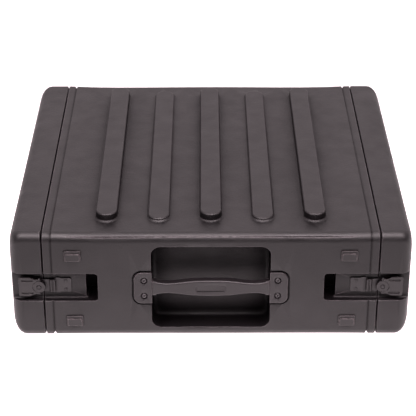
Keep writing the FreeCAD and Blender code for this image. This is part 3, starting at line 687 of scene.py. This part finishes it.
class StampTree(NodeTree):
    """A Geometry Nodes tree that makes one template and sets it at every vertex of a mesh.

    The vertices carry the template's turn as Euler angles in the attribute "turn".
    """

    def __init__(self, name: str) -> None:
        """Start the tree with its geometry and material inputs.

        Args:
            name: the tree's name.
        """
        super().__init__(bpy.data.node_groups.new(name, "GeometryNodeTree"))
        self.values: Dict[str, object] = {}
        self.entry = self.node("NodeGroupInput")
        self.places = self.input("Places", Socket.GEOMETRY)
        self.finish = self.input("Finish", Socket.MATERIAL)
        self.tree.interface.new_socket("Geometry", in_out="OUTPUT", socket_type=Socket.GEOMETRY.value)

    def input(self, name: str, kind: Socket, value: object = None) -> Output:
        """Add a named input of the tree.

        Args:
            name: the input's name.
            kind: what it takes.
            value: the value that the stamp will be run with.

        Returns:
            The output that gives the value inside the tree.
        """
        item = self.tree.interface.new_socket(name, in_out="INPUT", socket_type=kind.value)
        if value is not None:
            self.values[item.identifier] = value
        return self.entry.outputs[name]

    def sizes(self, **lengths: float) -> List[Output]:
        """Add named lengths.

        Args:
            **lengths: their names, with spaces written as underscores, and their values.

        Returns:
            The output of each.
        """
        return [self.input(name.replace("_", " "), Socket.NUMBER, float(value))
                for name, value in lengths.items()]

    def times(self, value: Output, factor: float) -> Output:
        """A value multiplied by a plain number."""
        return self.math("MULTIPLY", value, factor)

    def vector(self, x: object = 0.0, y: object = 0.0, z: object = 0.0) -> Output:
        """A vector from three values or outputs."""
        return self.node("ShaderNodeCombineXYZ", X=x, Y=y, Z=z).outputs[0]

    def moved(self, shape: Output, **change: object) -> Output:
        """A shape after a Transform node.

        Args:
            shape: the geometry.
            **change: the node's Translation, Rotation or Scale.

        Returns:
            The moved geometry.
        """
        return self.node("GeometryNodeTransform", Geometry=shape, **change).outputs[0]

    def bar(self, sides: int, radius: Output, low: object, high: object, rings: int = 1) -> Output:
        """An upright prism or round bar between two heights.

        Args:
            sides: how many sides it has.
            radius: its corner radius.
            low: the height of its lower end.
            high: the height of its upper end.
            rings: how many rings divide each end.

        Returns:
            The bar's geometry.
        """
        depth = self.math("SUBTRACT", high, low)
        middle = self.times(self.math("ADD", high, low), 0.5)
        bar = self.node("GeometryNodeMeshCylinder", {"fill_type": "TRIANGLE_FAN" if rings > 1 else "NGON"},
                        Vertices=sides, Fill_Segments=rings, Radius=radius, Depth=depth)
        return self.moved(bar.outputs["Mesh"], Translation=self.vector(z=middle))

    def domed(self, bar: Output, radius: Output, above: Output, sink: Output) -> Output:
        """A round bar whose top falls away from its middle as the fourth power of the distance.

        Args:
            bar: the bar's geometry.
            radius: its radius.
            above: the height past which its points move.
            sink: how far its rim falls.

        Returns:
            The domed geometry.
        """
        place = self.node("GeometryNodeInputPosition").outputs[0]
        parts = self.node("ShaderNodeSeparateXYZ", Vector=place)
        squares = [self.math("POWER", parts.outputs[axis], 2.0) for axis in ("X", "Y")]
        reach = self.math("DIVIDE", self.math("ADD", *squares), self.math("POWER", radius, 2.0))
        fall = self.math("MULTIPLY", self.math("POWER", reach, 2.0), self.times(sink, -1.0))
        chosen = self.math("GREATER_THAN", parts.outputs["Z"], above)
        return self.node("GeometryNodeSetPosition", Geometry=bar, Selection=chosen,
                         Offset=self.vector(z=fall)).outputs[0]

    def outline(self, width: Output, height: Output, corner: Output, count: int) -> Output:
        """A flat rectangle with round corners, as a curve.

        Args:
            width: its size along X.
            height: its size along Y.
            corner: its corner radius.
            count: how many points round each corner.

        Returns:
            The curve.
        """
        plain = self.node("GeometryNodeCurvePrimitiveQuadrilateral", Width=width, Height=height)
        return self.node("GeometryNodeFilletCurve", {"mode": "POLY"}, Curve=plain.outputs[0], Count=count,
                         Radius=corner, Limit_Radius=True).outputs[0]

    def joined(self, *shapes: Output) -> Output:
        """Several shapes as one geometry."""
        node = self.node("GeometryNodeJoinGeometry")
        for shape in shapes:
            self.feed(node.inputs[0], shape)
        return node.outputs[0]

    def boolean(self, operation: str, body: Output, tool: Output) -> Output:
        """The difference or the common part of two closed shapes."""
        node = self.node("GeometryNodeMeshBoolean", {"operation": operation, "solver": "EXACT"})
        self.feed(node.inputs[0 if operation == "DIFFERENCE" else 1], body)
        self.feed(node.inputs[1], tool)
        return node.outputs[0]

    def close(self, template: Output, seed: int = 0, spin: float = 0.0) -> None:
        """Set the template at the places, then end the tree.

        Args:
            template: the template's geometry.
            seed: the seed of the random turn about the template's own axis.
            spin: the most that it turns either way, in radians.
        """
        turn = self.node("GeometryNodeInputNamedAttribute", {"data_type": "FLOAT_VECTOR"}, Name="turn")
        base = self.node("FunctionNodeEulerToRotation", Euler=turn.outputs[0]).outputs[0]
        seed_in = self.input("Seed", Socket.COUNT, seed)
        spin_in, = self.sizes(Spin=spin)
        chance = self.node("FunctionNodeRandomValue", {"data_type": "FLOAT"}, Seed=seed_in)
        self.feed(chance.inputs[2], self.times(spin_in, -1.0))
        self.feed(chance.inputs[3], spin_in)
        own = self.node("FunctionNodeEulerToRotation", Euler=self.vector(z=chance.outputs[1])).outputs[0]
        both = self.node("FunctionNodeRotateRotation", {"rotation_space": "LOCAL"}, Rotation=base,
                         Rotate_By=own).outputs[0]
        self.end(self.node("GeometryNodeInstanceOnPoints", Points=self.places, Instance=template,
                           Rotation=both).outputs[0])

    def end(self, shape: Output) -> None:
        """Realize the instances and set the finish, as the tree's last nodes."""
        real = self.node("GeometryNodeRealizeInstances", Geometry=shape).outputs[0]
        dressed = self.node("GeometryNodeSetMaterial", Geometry=real, Material=self.finish).outputs[0]
        self.feed(self.node("NodeGroupOutput").inputs[0], dressed)

    def run(self, shop: Workshop, name: str, node: str, spots: Sequence[Spot], crease: float = 32.0,
            face_out: bool = False) -> None:
        """Run the tree on a set of places and hand the result over.

        Args:
            shop: the workshop.
            name: the finished piece's name.
            node: the CAD node that it stands for.
            spots: the place and turn of each template.
            crease: the angle in degrees past which an edge stays sharp.
            face_out: whether the faces still have to be turned outward.
        """
        mesh = bpy.data.meshes.new(name)
        mesh.from_pydata([place for place, _ in spots], [], [])
        attribute = mesh.attributes.new("turn", "FLOAT_VECTOR", "POINT")
        for row, (_, turn) in zip(attribute.data, spots):
            row.vector = turn
        source = new_object(name + "_source", mesh)
        modifier = source.modifiers.new("stamp", "NODES")
        modifier.node_group = self.tree
        for item in self.tree.interface.items_tree:
            if item.in_out == "INPUT" and item.socket_type == Socket.MATERIAL.value:
                modifier[item.identifier] = shop.material(shop.slots[node])
        for identifier, value in self.values.items():
            modifier[identifier] = value
        piece = shop.applied(name, source)
        with editing(piece.data) as shape:
            bmesh.ops.remove_doubles(shape, verts=shape.verts, dist=0.001 * MM)
        piece.data.shade_smooth()
        piece.data.set_sharp_from_angle(angle=math.radians(crease))
        if face_out:
            with editing(piece.data) as shape:
                bmesh.ops.recalc_face_normals(shape, faces=shape.faces)
        shop.hand_over(piece, node)


@dataclass
class Sleeve:
    """The moulded sleeve, with its roof ribs, side recesses and end flanges.

    Attributes:
        shop: the workshop.
        length: how far the outer skin reaches from the middle of the case.
        half_width: half the width over the side walls, at the ends.
        height: the height of the roof at the ends.
        base: the lowest height of the outline before the underside is cut flat.
        radius: the radius of the long edges.
        sag_middle: how far the roof sags in the middle.
        sag_wave: how much deeper the two waves beside the middle are.
        side_share: how much of the roof's sag the side walls share.
    """

    shop: Workshop
    length: float = 256.2 * MM
    half_width: float = 283.0 * MM
    height: float = 182.0 * MM
    base: float = -0.3 * MM
    radius: float = 14.0 * MM
    sag_middle: float = 1.4 * MM
    sag_wave: float = 4.9 * MM
    side_share: float = 0.5

    def build(self) -> None:
        """Finish the sleeve."""
        self.shop.smooth_copy("body_shell", crease=24.0, refine=self._even_edges)

    def _outward(self, place: Vector, bent: Vector) -> Vector:
        """The normal of a long rounded edge at a point, or the given one if the point is elsewhere.

        Args:
            place: the point.
            bent: the normal that its faces give it.

        Returns:
            The normal to use.
        """
        share = (place.x / self.length) ** 2
        sag = (1.0 - share) * (self.sag_middle + self.sag_wave * share)
        across = abs(place.y) - (self.half_width - self.side_share * sag - self.radius)
        above = place.z - (self.height - sag - self.radius)
        below = place.z - (self.base + self.radius)
        rise = max(above, 0.0) + min(below, 0.0)
        out = Vector((0.0, math.copysign(across, place.y), rise))
        if across < 0.0 or rise == 0.0 or abs(out.length - self.radius) > 0.6 * MM:
            return bent
        out *= math.sqrt(max(0.0, 1.0 - bent.x ** 2)) / out.length
        out.x = bent.x
        return out if out.dot(bent) > 0.85 else bent

    def _even_edges(self, piece: bpy.types.Object) -> None:
        """Turn the normals along the long edges square to the rounding, whatever the facets are.

        Args:
            piece: the finished sleeve.
        """
        mesh = piece.data
        bent = [normal.vector.copy() for normal in mesh.corner_normals]
        places = [mesh.vertices[corner.vertex_index].co for corner in mesh.loops]
        mesh.normals_split_custom_set([self._outward(p, b) for p, b in zip(places, bent)])


@dataclass
class Handles:
    """Both carrying handles with their screws, nuts and backing plates.

    Attributes:
        shop: the workshop.
        spread: how far the screws are from the middle of a handle.
        height: the height of the handle's middle.
        pitch: the distance between the two screws of a plate.
        seat: where the screw heads sit, from the middle of the case.
        head: the head's radius.
        rise: the head's height.
        key: the corner radius of the key socket.
        shank: the screw's radius.
        nut_face: where the nuts bear, from the middle of the case.
        past_nut_face: how far the screws reach past that.
    """

    shop: Workshop
    spread: float = 102.5 * MM
    height: float = 88.5 * MM
    pitch: float = 26.9 * MM
    seat: float = 282.5 * MM
    head: float = 3.7 * MM
    rise: float = 2.4 * MM
    key: float = 1.45 * MM
    shank: float = 2.0 * MM
    nut_face: float = 270.0 * MM
    past_nut_face: float = 5.0 * MM

    def build(self) -> None:
        """Finish the handles and their fasteners."""
        for side in CaseSide:
            self.shop.smooth_copy(side.word + "_handle", crease=30.0)
        self._screws()
        NutMaker(7.0 * MM, 3.2 * MM, self.shank).run(
            self.shop, "handle_nut_set", "handle_nuts", self._spots(self.nut_face))
        self.shop.smooth_copy("handle_backing_plates", round_over=0.2 * MM)

    def _spots(self, out: float) -> List[Spot]:
        """The places and turns of the screws, or of the nuts.

        Args:
            out: how far from the middle of the case they bear.

        Returns:
            Each one's place and turn.
        """
        heights = [self.height + step * self.pitch for step in (-0.5, 0.5)]
        return [spot for side in CaseSide
                for spot in wall_spots((-self.spread, self.spread), out, heights, [side])]

    def _screws(self) -> None:
        """The domed screws with hexagonal key sockets."""
        tree = StampTree("handle_screw_tree")
        head, rise, key, shank, length = tree.sizes(
            Head_Radius=self.head, Head_Height=self.rise, Key_Radius=self.key, Shank_Radius=self.shank,
            Length=self.seat - self.nut_face + self.past_nut_face)
        cap = tree.domed(tree.bar(40, head, 0.0, rise, rings=7), head, tree.times(rise, 0.5),
                         tree.times(rise, 0.62))
        socket = tree.bar(6, key, tree.times(rise, 0.4), tree.times(rise, 1.5))
        cap = tree.boolean("DIFFERENCE", cap, socket)
        stem = tree.bar(20, shank, tree.times(length, -1.0), 0.2 * MM)
        tree.close(tree.joined(cap, stem), seed=11, spin=math.radians(30))
        tree.run(self.shop, "handle_screw_set", "handle_screws", self._spots(self.seat))


@dataclass
class NutMaker:
    """A chamfered hexagonal nut that hangs below its bearing face.

    Attributes:
        across: the nut's width across flats.
        thickness: the nut's height.
        bore: the radius of its hole.
    """

    across: float
    thickness: float
    bore: float

    def run(self, shop: Workshop, name: str, node: str, spots: Sequence[Spot]) -> None:
        """Make a nut at every place and hand the set over.

        Args:
            shop: the workshop.
            name: the finished piece's name.
            node: the CAD node that it stands for.
            spots: where the bearing faces are, and the turn of each nut.
        """
        tree = StampTree(name + "_tree")
        corner, thickness, bore = tree.sizes(Corner_Radius=self.across / math.sqrt(3.0),
                                             Thickness=self.thickness, Bore_Radius=self.bore)
        below = tree.times(thickness, -1.0)
        blank = tree.bar(6, corner, below, 0.0)
        turned = tree.bar(40, tree.times(corner, 0.99), below, 0.0, rings=5)
        flipped = tree.moved(turned, Scale=(1.0, 1.0, -1.0), Translation=tree.vector(z=below))
        flipped = tree.node("GeometryNodeFlipFaces", Mesh=flipped).outputs[0]
        rim = tree.domed(flipped, corner, tree.times(thickness, -0.5), tree.times(thickness, 0.12))
        nut = tree.boolean("INTERSECT", blank, rim)
        hole = tree.bar(28, bore, tree.times(thickness, -2.0), thickness)
        tree.close(tree.boolean("DIFFERENCE", nut, hole), seed=5, spin=math.radians(180))
        tree.run(shop, name, node, spots)


@dataclass
class RackRails:
    """The four rack rails with the stepped bolts outside and the nuts inside.

    Attributes:
        shop: the workshop.
        bolt_x: how far the bolts are from the middle, along X.
        bolt_z: the heights of the bolts.
        wall: the outer face of the side wall, from the middle of the case.
        seat: the floor of the bolts' seats.
        tab: the inner face of a rail's tab, where its nuts bear.
        shank: the bolts' radius.
        past_tab: how far the bolts reach past the tab.
        block_drop: how far the head's block is from the middle of its pad, along Z.
    """

    shop: Workshop
    bolt_x: float = 210.5 * MM
    bolt_z: Tuple[float, float] = (29.5 * MM, 145.0 * MM)
    wall: float = 283.0 * MM
    seat: float = 281.6 * MM
    tab: float = 276.0 * MM
    shank: float = 3.0 * MM
    past_tab: float = 5.5 * MM
    block_drop: float = -1.7 * MM

    PAD_STEPS = ((2.3 * MM, 0.0), (0.3 * MM, 0.08 * MM), (0.25 * MM, 0.22 * MM), (0.15 * MM, 0.35 * MM))
    BLOCK_STEPS = ((4.0 * MM, 0.0), (0.4 * MM, 0.1 * MM), (0.35 * MM, 0.3 * MM), (0.25 * MM, 0.6 * MM))

    def build(self) -> None:
        """Finish the rails and their fasteners."""
        for end in CaseEnd:
            for side in CaseSide:
                self.shop.smooth_copy(f"{end.word}_{side.word}_rack_rail")
        rows = [end.value * self.bolt_x for end in CaseEnd]
        self._bolts(wall_spots(rows, self.seat, self.bolt_z))
        NutMaker(10.0 * MM, 5.0 * MM, self.shank).run(
            self.shop, "rail_nut_set", "rail_nuts", wall_spots(rows, self.tab, self.bolt_z))

    def _block(self, tree: StampTree, size: Sequence[Output], corner: Output, middle: float,
               steps: Sequence[Tuple[float, float]]) -> Output:
        """A low block with round corners whose top edge is rounded in steps.

        Args:
            tree: the tree to build in.
            size: the block's width, and its height on the wall.
            corner: its corner radius.
            middle: how far its middle is above the bolt's.
            steps: pairs of rise and inset, from the base up.

        Returns:
            The block's geometry.
        """
        outline = tree.outline(*size, corner, 6)
        shape = tree.node("GeometryNodeFillCurve", {"mode": "NGONS"}, Curve=outline).outputs[0]
        base = tree.node("GeometryNodeFlipFaces", Mesh=shape).outputs[0]
        for rise, inset in steps:
            grown = tree.node("GeometryNodeExtrudeMesh", {"mode": "FACES"}, Mesh=shape,
                              Offset_Scale=rise, Individual=False)
            shrink = [tree.math("SUBTRACT", 1.0, tree.math("DIVIDE", 2.0 * inset, span)) for span in size]
            place = tree.node("GeometryNodeInputPosition").outputs[0]
            drawn = tree.operate("ShaderNodeVectorMath", "MULTIPLY", place, tree.vector(*shrink, 1.0))
            shape = tree.node("GeometryNodeSetPosition", Geometry=grown.outputs["Mesh"],
                              Selection=grown.outputs["Top"], Position=drawn.outputs[0]).outputs[0]
        whole = tree.node("GeometryNodeMergeByDistance", Geometry=tree.joined(shape, base),
                          Distance=0.001 * MM).outputs[0]
        return tree.moved(whole, Translation=(0.0, middle, 0.0))

    def _bolts(self, spots: Sequence[Spot]) -> None:
        """The bolts with stepped rectangular heads.

        Args:
            spots: the place and turn of each bolt.
        """
        tree = StampTree("rail_bolt_tree")
        pad_size = tree.sizes(Pad_Width=26.0 * MM, Pad_Height=18.0 * MM)
        block_size = tree.sizes(Block_Width=22.4 * MM, Block_Height=12.6 * MM)
        corner, shank, length = tree.sizes(Corner_Radius=1.8 * MM, Shank_Radius=self.shank,
                                           Length=self.seat - self.tab + self.past_tab)
        pad = self._block(tree, pad_size, corner, 0.0, self.PAD_STEPS)
        block = self._block(tree, block_size, corner, self.block_drop, self.BLOCK_STEPS)
        stem = tree.bar(24, shank, tree.times(length, -1.0), 0.3 * MM)
        tree.close(tree.joined(pad, block, stem))
        tree.run(self.shop, "rail_bolt_set", "rail_bolts", spots, crease=50.0)


@dataclass
class RivetMaker:
    """A solid rivet: a domed head outside, a shank and a flat tail inside.

    Attributes:
        head: the head's radius.
        rise: the head's height.
        shank: the shank's radius.
        tail: the tail's thickness.
    """

    head: float = 2.6 * MM
    rise: float = 1.0 * MM
    shank: float = 1.6 * MM
    tail: float = 1.2 * MM

    def run(self, shop: Workshop, name: str, node: str, spots: Sequence[Spot], grip: float) -> None:
        """Make a rivet at every place and hand the set over.

        Args:
            shop: the workshop.
            name: the finished piece's name.
            node: the CAD node that it stands for.
            spots: where each head bears, and the turn of each rivet.
            grip: the thickness that the rivet holds.
        """
        tree = StampTree(name + "_tree")
        head, rise, shank, held, tail = tree.sizes(
            Head_Radius=self.head, Head_Height=self.rise, Shank_Radius=self.shank, Grip=grip,
            Tail_Thickness=self.tail)
        cap = tree.domed(tree.bar(32, head, 0.0, rise, rings=6), head, tree.times(rise, 0.5),
                         tree.times(rise, 0.7))
        back = tree.times(held, -1.0)
        stem = tree.bar(16, shank, back, 0.1 * MM)
        foot = tree.bar(24, head, tree.math("SUBTRACT", back, tail), back)
        tree.close(tree.joined(cap, stem, foot))
        tree.run(shop, name, node, spots, crease=40.0)


@dataclass
class Lids:
    """The two lift-off lids with their seals and latch rivets.

    Attributes:
        shop: the workshop.
        seal_face: where the seal's soft face lies, from the middle of the case.
        groove_floor: where the seal is stuck.
        seal_middle: how far the seal's middle is drawn in from the case's outline.
        seal_width: the seal's width.
        corner: the corner radius of the seal's middle line.
        rivet_x: how far the latch rivets are from the middle of the case.
        rivet_z: the heights of the latch rivets.
        plate_top: the outer face of the latch base.
        rivet_back: where the tails of its rivets bear.
    """

    shop: Workshop
    seal_face: float = 261.8 * MM
    groove_floor: float = 263.8 * MM
    seal_middle: float = 21.5 * MM
    seal_width: float = 6.5 * MM
    corner: float = 12.0 * MM
    rivet_x: float = 283.7 * MM
    rivet_z: Tuple[float, float] = (80.25 * MM, 98.25 * MM)
    plate_top: float = 273.2 * MM
    rivet_back: float = 268.0 * MM

    def build(self) -> None:
        """Finish both lids."""
        for end in CaseEnd:
            self.shop.smooth_copy(end.word + "_lid_shell", crease=24.0)
            self._seal(end)
            spots = wall_spots([end.value * self.rivet_x], self.plate_top, self.rivet_z)
            RivetMaker().run(self.shop, end.word + "_latch_rivet_set", end.word + "_latch_rivets", spots,
                             self.plate_top - self.rivet_back)

    def _seal(self, end: CaseEnd) -> None:
        """A soft strip with a rounded face, swept round the lid's groove.

        Args:
            end: the lid's end.
        """
        lid_low, lid_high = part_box(end.word + "_lid_shell")
        tree = StampTree(end.word + "_seal_tree")
        width, height, corner, strip, thick, place, middle = tree.sizes(
            Path_Width=lid_high[1] - lid_low[1] - 2 * self.seal_middle,
            Path_Height=lid_high[2] - lid_low[2] - 2 * self.seal_middle, Corner_Radius=self.corner,
            Strip_Width=self.seal_width, Strip_Thickness=self.groove_floor - self.seal_face,
            Place=end.value * (self.groove_floor + self.seal_face) / 2,
            Middle_Height=(lid_low[2] + lid_high[2]) / 2)
        swept = tree.node("GeometryNodeCurveToMesh", Curve=tree.outline(width, height, corner, 10),
                          Profile_Curve=tree.outline(strip, thick, tree.times(thick, 0.42), 4))
        tree.end(tree.moved(swept.outputs[0], Rotation=(math.radians(90), 0.0, math.radians(90)),
                            Translation=tree.vector(x=place, z=middle)))
        tree.run(self.shop, end.word + "_seal_strip", end.word + "_lid_seal", [((0.0,) * 3, (0.0,) * 3)],
                 crease=50.0, face_out=True)


@dataclass
class Latches:
    """The four folding twist latches and their keepers.

    Attributes:
        shop: the workshop.
        round_over: the rounding of the pressed parts' edges.
        keeper_x: how far the keeper rivets are from the middle of the case.
        keeper_z: the heights of the keeper rivets.
        keeper_top: the outer face of a keeper.
        rivet_back: where the tails of its rivets bear.
    """

    shop: Workshop
    round_over: float = 0.22 * MM
    keeper_x: float = 223.0 * MM
    keeper_z: Tuple[float, float] = (81.75 * MM, 96.75 * MM)
    keeper_top: float = 274.3 * MM
    rivet_back: float = 267.5 * MM

    PRESSED = ("keeper", "latch_base", "latch_hook", "latch_wing", "latch_rotor")
    TURNED = ("latch_wing_pin", "latch_washer")

    def build(self) -> None:
        """Finish the latches, their keepers and the keepers' rivets."""
        for end in CaseEnd:
            for side in CaseSide:
                for part in self.PRESSED:
                    self.shop.smooth_copy(f"{end.word}_{side.word}_{part}", round_over=self.round_over)
                for part in self.TURNED:
                    self.shop.smooth_copy(f"{end.word}_{side.word}_{part}")
        spots = wall_spots([end.value * self.keeper_x for end in CaseEnd], self.keeper_top, self.keeper_z)
        RivetMaker().run(self.shop, "keeper_rivet_set", "keeper_rivets", spots,
                         self.keeper_top - self.rivet_back)


@dataclass(frozen=True)
class SoftBox:
    """One soft lamp.

    Attributes:
        name: the lamp's name.
        place: where its middle is.
        size: its width and height.
        power: its power in watts.
    """

    name: str
    place: Point
    size: Tuple[float, float]
    power: float


@dataclass
class Studio:
    """The lit floor, the soft lights and the camera.

    Attributes:
        lens: the camera's focal length on a 36 mm sensor, in millimetres.
        eye: the camera's place.
        pitch: how far the camera looks down, in degrees.
        yaw: how far it looks to the right, in degrees.
        aim: the point that the lamps face.
        cast: the faint warm tint of the light.
        climb: the sky's lowest and highest climb toward the back.
        brightness: the sky's strength at each.
        reach: half the floor's width.
        cells: how many squares the floor is divided into each way.
    """

    lens: float = 129.7
    eye: Point = (-0.0107, -2.2474, 1.2865)
    pitch: float = 28.32
    yaw: float = 0.183
    aim: Point = (0.0, 0.0, 0.12)
    cast: Colour = (1.0, 0.86, 0.90)
    climb: Tuple[float, float] = (0.0, 0.7)
    brightness: Tuple[float, float] = (0.10, 1.36)
    reach: float = 9.0
    cells: int = 6

    BOXES = (SoftBox("front_left_box", (-0.95, -1.0, 2.05), (0.9, 1.5), 72.0),
             SoftBox("front_right_box", (0.95, -1.0, 2.05), (0.9, 1.5), 72.0),
             SoftBox("front_box", (0.0, -1.05, 2.15), (1.0, 1.5), 52.0),
             SoftBox("rear_box", (0.0, 2.2, 2.6), (2.4, 1.2), 8.0))

    def _stand(self, obj: bpy.types.Object, place: Point, direction: Vector) -> None:
        """Stand a lamp or camera so that it looks along a direction, upright.

        Args:
            obj: the lamp or camera.
            place: where it stands.
            direction: the way it looks.
        """
        turn = direction.to_track_quat("-Z", "Y").to_matrix().to_4x4()
        obj.matrix_world = Matrix.Translation(place) @ turn

    def camera(self) -> None:
        """Place the camera at the viewing angle."""
        data = bpy.data.cameras.new("case_camera")
        data.lens = self.lens
        data.sensor_width = 36.0
        data.clip_start = 0.05
        data.clip_end = 60.0
        obj = new_object("case_camera", data)
        pitch = math.radians(self.pitch)
        yaw = math.radians(self.yaw)
        forward = Vector((math.sin(yaw) * math.cos(pitch), math.cos(yaw) * math.cos(pitch),
                          -math.sin(pitch)))
        self._stand(obj, self.eye, forward)
        bpy.context.scene.camera = obj

    def floor(self) -> None:
        """Lay the lit floor."""
        step = 2 * self.reach / self.cells
        row = self.cells + 1
        points = [(-self.reach + i * step, -self.reach + j * step, 0.0)
                  for j in range(row) for i in range(row)]
        faces = [(j * row + i, j * row + i + 1, (j + 1) * row + i + 1, (j + 1) * row + i)
                 for j in range(self.cells) for i in range(self.cells)]
        mesh = bpy.data.meshes.new("studio_floor")
        mesh.from_pydata(points, [], faces)
        sheet = LitFloor("studio_floor_sheet", (0.52, 0.52, 0.52), self.cast, (1.70, 0.05))
        mesh.materials.append(sheet.build())
        new_object("studio_floor", mesh)

    def lamp(self, box: SoftBox) -> None:
        """Add one soft box that faces the case.

        Args:
            box: what the lamp is like.
        """
        data = bpy.data.lights.new(box.name, "AREA")
        data.shape = "RECTANGLE"
        data.size, data.size_y = box.size
        data.energy = box.power
        data.color = self.cast
        self._stand(new_object(box.name, data), box.place, Vector(self.aim) - Vector(box.place))

    def sky(self) -> None:
        """Set the surroundings: dim along the front horizon, brighter overhead and at the back."""
        world = bpy.data.worlds.new("studio_world")
        bpy.context.scene.world = world
        world.use_nodes = True
        sky = NodeTree(world.node_tree)
        lit = sky.tree.nodes["Background"]
        way = sky.node("ShaderNodeTexCoord").outputs["Generated"]
        climb = sky.operate("ShaderNodeVectorMath", "DOT_PRODUCT", way, (0.0, 0.35, 1.0))
        sky.wire(lit, Color=(*self.cast, 1.0),
                 Strength=sky.ramp(climb.outputs["Value"], *self.climb, self.brightness))
        seen = sky.node("ShaderNodeBackground")
        chooser = sky.node("ShaderNodeMixShader")
        ray = sky.node("ShaderNodeLightPath").outputs["Is Camera Ray"]
        for target, value in zip(chooser.inputs, (ray, lit.outputs[0], seen.outputs[0])):
            sky.feed(target, value)
        sky.wire(sky.tree.nodes["World Output"], Surface=chooser.outputs[0])

    def build(self) -> None:
        """Set up the whole studio."""
        bpy.context.scene.view_settings.view_transform = "Standard"
        self.floor()
        self.sky()
        for box in self.BOXES:
            self.lamp(box)
        self.camera()
        LOG.info("studio ready")


def main() -> None:
    """Build the scene around the frame, piece by piece."""
    logging.basicConfig(level=logging.INFO, format="%(name)s: %(message)s")
    for obj in list(bpy.data.objects):
        bpy.data.objects.remove(obj)
    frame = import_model()
    shop = Workshop(frame)
    shop.dress_nodes()
    for assembly in (Sleeve, Handles, RackRails, Lids, Latches):
        assembly(shop).build()
    Studio().build()


if __name__ == "__main__":
    main()
